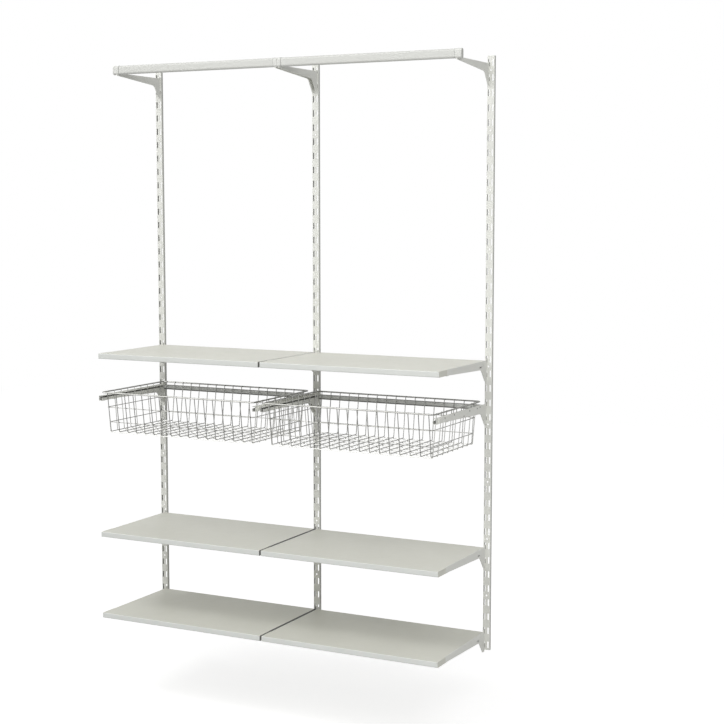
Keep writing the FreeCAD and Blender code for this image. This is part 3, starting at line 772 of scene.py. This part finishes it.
# painted shade: the inside of the runner gets the lighter grey
paint(runner, grey_painted_shade, lambda at, face: RUNNER_X + 1.1 < at.x < RUNNER_X + 11.5
      and RUNNER_Z + 1 < at.z < RUNNER_Z + 15.5)
clip = slab("clip", runner_points(
    -374, (0, 17), (13, 17), (13, 15.3), (12.5, 15.3), (12.5, 16.5), (0, 16.5)), (0, -20, 0))
under_clip = slab("under_clip", runner_points(
    -374, (13, 9.8), (13, -0.5), (0, -0.5), (0, 0), (12.5, 0), (12.5, 9.8)), (0, -20, 0))
stop = block("stop", (RUNNER_X + 1.2, -391, RUNNER_Z + 1.2), (RUNNER_X + 4.7, -381, RUNNER_Z + 15.3))
soften(stop, 0.6)
# the stop gets the dark grey plastic of painted shade
for part, plastic in ((clip, moulded), (under_clip, moulded), (stop, stop_plastic_painted_shade)):
    part.data.materials.append(plastic)
join(clip, under_clip, stop)
leave(clip)
print("runner and clip:", len(runner.data.polygons), len(clip.data.polygons), "faces")

# %% Four runners and two rear bars
pairs = {"left": (runner, clip),
         "right": (mirror_of(runner, "right_runner", MIDDLE_X),
                   mirror_of(clip, "right_clip", MIDDLE_X))}
for side, (channel_here, clip_here) in pairs.items():
    for bay, step in (("left", 0), ("right", BAY)):
        name = "%s_%s" % (bay, side)
        piece = copy_of(channel_here, "runner_channel_" + name, (step, 0, 0))
        dress(piece, "steel", "frame", "runner_" + name)
        piece = copy_of(clip_here, "runner_clip_" + name, (step, 0, 0))
        dress(piece, "plastic", "frame", "runner_stop_" + name)
    for spare in (channel_here, clip_here):
        only(spare)
        bpy.ops.object.delete()
bar = slab("rear_bar_left", [(-625, y, z) for y, z in (
    (-22, -222), (-22, -234), (-18, -234), (-18, -238.5), (-9, -238.5), (-9, -222))], (604, 0, 0))
soften(bar, 0.8)
leave(bar)
bar.data.materials.append(bar_zinc)
# painted shade: the bar's top and its lower lip get dark grey
paint(bar, thin_coat, lambda at, face: face.normal.z > 0.2 or at.z < -234)
twin = copy_of(bar, "rear_bar_right", (BAY, 0, 0))
dress(bar, "steel", "frame", "crossbar_left")
dress(twin, "steel", "frame", "crossbar_right")
print("four runners with clips and two rear bars")

# %% [markdown]
# ## Finishes on the CAD pieces
# Every CAD node also gets the finish of its material slot, in case it is shown again later.

# %% Materials of the CAD nodes
slot_of = {"upright": "steel", "bracket": "steel", "runner": "steel", "crossbar": "steel",
           "runner_stop": "plastic", "shelf": "shelf", "rail": "rail", "rail_caps": "plastic"}
dressed = 0
for node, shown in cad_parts.items():
    kind = max((key for key in slot_of if node.startswith(key)), key=len, default="")
    finish = FINISH[slot_of.get(kind, "wire")]
    shown.data.materials.clear()
    shown.data.materials.append(finish)
    dressed += 1
print("CAD nodes with a finish:", dressed)

# %% [markdown]
# ## Stage and light
# The wardrobe hangs before plain white. The world is white where the camera, a reflection or a
# clear piece sees it. For all other rays it is a sky that is bright above and in front and dim
# behind, because a real wardrobe has a wall there: shelves get darker towards the back. Two soft
# lamps stand left and right of the camera.

# %% World
scene = bpy.context.scene
scene.view_settings.view_transform = "Standard"
world = bpy.data.worlds.new("white_room")
scene.world = world
world.use_nodes = True
nodes, links = world.node_tree.nodes, world.node_tree.links
nodes.clear()
paths = nodes.new("ShaderNodeLightPath")
seen = nodes.new("ShaderNodeMath")
seen.operation = "MAXIMUM"
links.new(paths.outputs["Is Camera Ray"], seen.inputs[0])
links.new(paths.outputs["Is Glossy Ray"], seen.inputs[1])
shown_white = nodes.new("ShaderNodeMath")
shown_white.operation = "MAXIMUM"
links.new(seen.outputs[0], shown_white.inputs[0])
links.new(paths.outputs["Is Transmission Ray"], shown_white.inputs[1])
direction = nodes.new("ShaderNodeTexCoord")
slope = nodes.new("ShaderNodeVectorMath")
slope.operation = "DOT_PRODUCT"
slope.inputs[1].default_value = (0, -0.6, 0.8)
links.new(direction.outputs["Generated"], slope.inputs[0])
height = nodes.new("ShaderNodeMapRange")
height.inputs["From Min"].default_value = -0.5
height.inputs["To Min"].default_value = 0.04
height.inputs["To Max"].default_value = 0.86
links.new(slope.outputs["Value"], height.inputs["Value"])
even_light = nodes.new("ShaderNodeBackground")
even_light.inputs["Color"].default_value = (1, 1, 1, 1)
links.new(height.outputs["Result"], even_light.inputs["Strength"])
white = nodes.new("ShaderNodeBackground")
white.inputs["Color"].default_value = (1, 1, 1, 1)
white.inputs["Strength"].default_value = 1
mix = nodes.new("ShaderNodeMixShader")
links.new(shown_white.outputs[0], mix.inputs["Fac"])
links.new(even_light.outputs[0], mix.inputs[1])
links.new(white.outputs[0], mix.inputs[2])
output = nodes.new("ShaderNodeOutputWorld")
links.new(mix.outputs[0], output.inputs["Surface"])
print("world ready")

# %% Lamps
def soft_lamp(name, place, width, height, watts):
    """An area lamp that looks at the middle of the wardrobe."""
    none()
    bpy.ops.object.light_add(type="AREA", location=place)
    lamp = bpy.context.object
    lamp.name = name
    lamp.data.shape = "RECTANGLE"
    lamp.data.size, lamp.data.size_y = width, height
    lamp.data.energy = watts
    lamp.rotation_euler = (Vector((0, -0.2, 0)) - lamp.location).to_track_quat("-Z", "Y").to_euler()
    return lamp


lamps = [soft_lamp("left_lamp", (-1.3, -3.0, 3.6), 3.2, 0.9, 64),
         soft_lamp("right_lamp", (2.5, -3.2, 1.6), 1.6, 1.2, 46)]
print("lamps:", [lamp.data.energy for lamp in lamps], "watts")

# %% [markdown]
# Photographers of shiny things put up a white board for the metal to mirror. Here it stands to the
# left and is seen by reflections only, so wires that run from side to side turn white, and the
# painted pieces keep their tone. The floor lies below the uprights. It looks white and still takes
# the shadow: what it adds to the light that falls on it is the same in the shadow.

# %% Reflector board
none()
bpy.ops.mesh.primitive_plane_add(size=1, location=(-2.4, -3.2, 2.2))
board = bpy.context.object
board.name = "reflector_board"
board.scale = (5.0, 3.6, 1)
board.rotation_euler = (Vector((0, -0.2, 0)) - board.location).to_track_quat("Z", "Y").to_euler()
settle(board)
board_white = bpy.data.materials.new("board_white")
board_white.use_nodes = True
board_white.cycles.emission_sampling = "NONE"
nodes, links = board_white.node_tree.nodes, board_white.node_tree.links
nodes.clear()
shine = nodes.new("ShaderNodeEmission")
shine.inputs["Strength"].default_value = 5.8
output = nodes.new("ShaderNodeOutputMaterial")
links.new(shine.outputs[0], output.inputs["Surface"])
board.data.materials.append(board_white)
board.visible_camera = False
board.visible_diffuse = False
board.visible_shadow = False
print("reflector board of", [round(side, 2) for side in board.dimensions], "m")

# %% Floor
none()
bpy.ops.mesh.primitive_plane_add(size=14, location=(0, 0, -1.3))
floor = bpy.context.object
floor.name = "floor"
pale = bpy.data.materials.new("pale_floor")
pale.use_nodes = True
nodes, links = pale.node_tree.nodes, pale.node_tree.links
nodes.clear()
paths = nodes.new("ShaderNodeLightPath")
seen = nodes.new("ShaderNodeMath")
seen.operation = "MAXIMUM"
links.new(paths.outputs["Is Camera Ray"], seen.inputs[0])
links.new(paths.outputs["Is Glossy Ray"], seen.inputs[1])
shown_white = nodes.new("ShaderNodeMath")
shown_white.operation = "MAXIMUM"
links.new(seen.outputs[0], shown_white.inputs[0])
links.new(paths.outputs["Is Transmission Ray"], shown_white.inputs[1])
matt = nodes.new("ShaderNodeBsdfDiffuse")
matt.inputs["Color"].default_value = (0.6, 0.6, 0.6, 1)
glow = nodes.new("ShaderNodeEmission")
glow.inputs["Strength"].default_value = 0.63
lit = nodes.new("ShaderNodeAddShader")
links.new(matt.outputs[0], lit.inputs[0])
links.new(glow.outputs[0], lit.inputs[1])
mix = nodes.new("ShaderNodeMixShader")
links.new(shown_white.outputs[0], mix.inputs["Fac"])
links.new(matt.outputs[0], mix.inputs[1])
links.new(lit.outputs[0], mix.inputs[2])
output = nodes.new("ShaderNodeOutputMaterial")
links.new(mix.outputs[0], output.inputs["Surface"])
floor.data.materials.append(pale)
print("floor at", floor.location.z)
